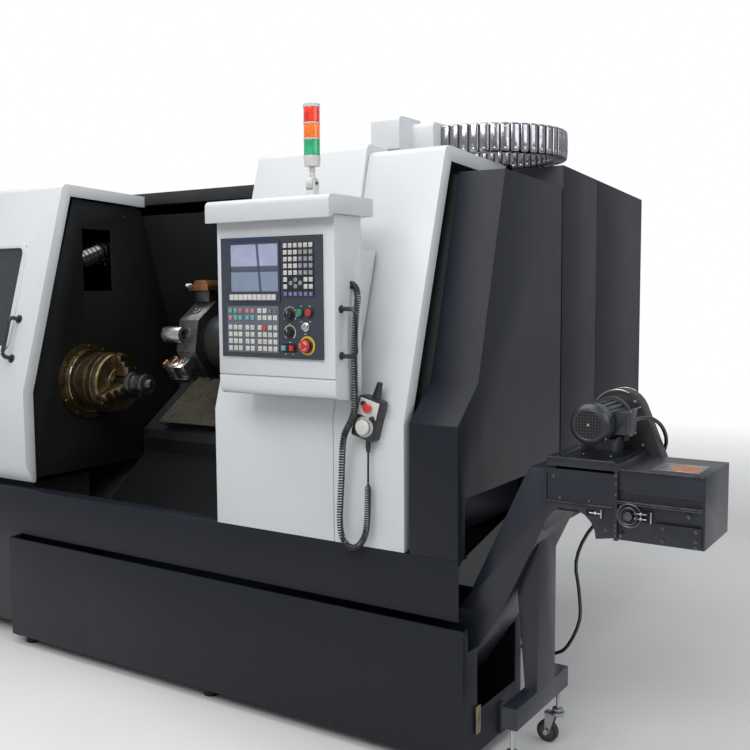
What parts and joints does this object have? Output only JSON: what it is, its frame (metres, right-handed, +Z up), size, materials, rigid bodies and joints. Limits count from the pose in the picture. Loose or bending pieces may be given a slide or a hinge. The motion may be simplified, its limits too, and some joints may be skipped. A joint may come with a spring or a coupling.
{
  "type": "cnc turning lathe",
  "caption": "Slant-bed CNC turning lathe in a full enclosure, with sliding doors, a turret, an operator's box and a chip conveyor that lifts chips from the tank.",
  "frame": {"origin": "centre of the overall box at floor level", "axes": "+X to the operator's right, towards the conveyor's head; -Y to the operator; +Z up; the spindle runs along X"},
  "size_m": [3.94, 1.92, 2.108],
  "materials": {
    "white_paint": "warm white machine paint, satin",
    "dark_paint": "dark grey-blue structure paint",
    "black_paint": "black paint, satin",
    "machine_casting": "painted cast iron",
    "bright_steel": "machined steel",
    "dark_steel": "hardened and blackened steel",
    "oily_steel": "ground steel under a film of oil",
    "black_plastic": "black plastic",
    "grey_plastic": "grey plastic",
    "red_plastic": "red plastic",
    "green_plastic": "green plastic",
    "white_plastic": "white plastic",
    "window": "laminated safety glass",
    "screen_glass": "screen behind glass",
    "motor_paint": "painted motor casting",
    "zinc": "zinc-plated steel",
    "cord_rubber": "black cord jacket"
  },
  "bodies": {
    "machine": {"bed_casting": "machine_casting", "base_fascia": "dark_paint", "coolant_tank": "dark_paint", "headstock": "machine_casting", "left_guard": "dark_paint", "left_inner_wall": "dark_paint", "nose_ring": "oily_steel", "back_wall": "dark_paint", "top_rail": "black_paint", "right_inner_guard": "dark_paint", "right_side_cover": "dark_paint", "electrical_cabinet": "dark_paint", "rear_cover": "dark_paint", "chip_chute": "dark_paint", "conveyor_casing": "dark_paint", "conveyor_head": "dark_paint", "gear_motor": "motor_paint", "chain_guard": "black_paint", "conveyor_leg": "dark_paint", "conveyor_cable": "cord_rubber", "cable_hose": "bright_steel"},
    "cabinet_door_body": {"cabinet_door": "dark_paint"},
    "spindle": {"spindle_shaft": "bright_steel", "chuck_body": "oily_steel", "arbor": "dark_steel"},
    "chuck_jaw_1": {"jaw_1": "oily_steel"},
    "chuck_jaw_2": {"jaw_2": "oily_steel"},
    "chuck_jaw_3": {"jaw_3": "oily_steel"},
    "saddle": {"z_saddle": "dark_steel"},
    "slide": {"cross_slide": "machine_casting"},
    "turret": {"turret_disc": "dark_steel", "tool_block": "bright_steel", "boring_holder": "bright_steel"},
    "main_door_body": {"main_door": "white_paint", "door_glass": "window", "door_handle": "black_plastic"},
    "operator_body": {"operator_door": "white_paint", "panel_carrier": "white_paint", "control_box": "white_paint", "control_hood": "white_paint", "operator_panel": "grey_plastic", "screen": "screen_glass", "mdi_keypad": "grey_plastic", "machine_keypad": "grey_plastic", "side_handle": "black_plastic", "pendant_body": "black_plastic", "curly_cord": "cord_rubber", "pendant_lead": "cord_rubber", "cable_duct": "white_paint"},
    "estop": {"estop_button": "red_plastic"},
    "start": {"start_button": "green_plastic"},
    "hold": {"hold_button": "red_plastic"},
    "override": {"override_knob": "black_plastic"},
    "hand_wheel": {"pendant_wheel": "white_plastic"},
    "tower": {"signal_tower": "white_plastic"},
    "head_shaft": {"conveyor_shaft": "bright_steel"},
    "swivel_front": {"caster_fork_front": "zinc"},
    "swivel_rear": {"caster_fork_rear": "zinc"},
    "roller_front": {"caster_wheel_front": "black_plastic"},
    "roller_rear": {"caster_wheel_rear": "black_plastic"}
  },
  "joints": [
    {"name": "cabinet_door_hinge", "type": "hinge", "parent": "machine", "child": "cabinet_door_body", "pos_m": [1.2363, 0.948, 0.62], "axis": [0, 0, -1], "range_deg": [0, 110]},
    {"name": "spindle_turn", "type": "hinge", "parent": "machine", "child": "spindle", "pos_m": [-0.6194, -0.39, 1.1], "axis": [1, 0, 0], "continuous": true},
    {"name": "jaw_1_slide", "type": "slide", "parent": "spindle", "child": "chuck_jaw_1", "axis": [0, 0, 1], "range_m": [0, 0.01]},
    {"name": "jaw_2_slide", "type": "slide", "parent": "spindle", "child": "chuck_jaw_2", "axis": [0, -0.866, -0.5], "range_m": [0, 0.01]},
    {"name": "jaw_3_slide", "type": "slide", "parent": "spindle", "child": "chuck_jaw_3", "axis": [0, 0.866, -0.5], "range_m": [0, 0.01]},
    {"name": "z_slide", "type": "slide", "parent": "machine", "child": "saddle", "axis": [1, 0, 0], "range_m": [0, 0.5]},
    {"name": "x_slide", "type": "slide", "parent": "saddle", "child": "slide", "axis": [0, 0.8192, 0.5736], "range_m": [-0.14, 0]},
    {"name": "turret_index", "type": "hinge", "parent": "slide", "child": "turret", "pos_m": [-0.36, -0.13606, 1.27781], "axis": [1, 0, 0], "continuous": true},
    {"name": "main_door_slide", "type": "slide", "parent": "machine", "child": "main_door_body", "axis": [1, 0, 0], "range_m": [0, 0.58]},
    {"name": "operator_door_slide", "type": "slide", "parent": "machine", "child": "operator_body", "axis": [1, 0, 0], "range_m": [-0.48, 0], "deforming": ["cable_hose"]},
    {"name": "estop_push", "type": "slide", "parent": "operator_body", "child": "estop", "axis": [0, 1, 0], "range_m": [0, 0.004], "stiffness_N_per_m": 1500},
    {"name": "start_push", "type": "slide", "parent": "operator_body", "child": "start", "axis": [0, 1, 0], "range_m": [0, 0.004], "stiffness_N_per_m": 800},
    {"name": "hold_push", "type": "slide", "parent": "operator_body", "child": "hold", "axis": [0, 1, 0], "range_m": [0, 0.004], "stiffness_N_per_m": 800},
    {"name": "override_turn", "type": "hinge", "parent": "operator_body", "child": "override", "pos_m": [0.75083, -0.9243, 1.36635], "axis": [0, 1, 0], "range_deg": [-135, 135]},
    {"name": "hand_wheel_turn", "type": "hinge", "parent": "operator_body", "child": "hand_wheel", "pos_m": [0.94852, -0.7663, 1.06772], "axis": [0, 1, 0], "continuous": true},
    {"name": "tower_fold", "type": "hinge", "parent": "operator_body", "child": "tower", "pos_m": [0.82, -0.89, 1.8253], "axis": [-1, 0, 0], "range_deg": [0, 90]},
    {"name": "head_shaft_turn", "type": "hinge", "parent": "machine", "child": "head_shaft", "pos_m": [1.766, -0.67, 0.862], "axis": [0, 1, 0], "continuous": true},
    {"name": "caster_swivel_front", "type": "hinge", "parent": "machine", "child": "swivel_front", "pos_m": [1.445, -0.7653, 0.098], "axis": [0, 0, 1], "continuous": true},
    {"name": "caster_roll_front", "type": "hinge", "parent": "swivel_front", "child": "roller_front", "pos_m": [1.41, -0.7653, 0.0365], "axis": [0, 1, 0], "continuous": true},
    {"name": "caster_swivel_rear", "type": "hinge", "parent": "machine", "child": "swivel_rear", "pos_m": [1.445, -0.4133, 0.098], "axis": [0, 0, 1], "continuous": true},
    {"name": "caster_roll_rear", "type": "hinge", "parent": "swivel_rear", "child": "roller_rear", "pos_m": [1.41, -0.4133, 0.0365], "axis": [0, 1, 0], "continuous": true}
  ],
  "couplings": [
    {"joint": "jaw_2_slide", "follows": "jaw_1_slide", "ratio": 1},
    {"joint": "jaw_3_slide", "follows": "jaw_1_slide", "ratio": 1}
  ]
}
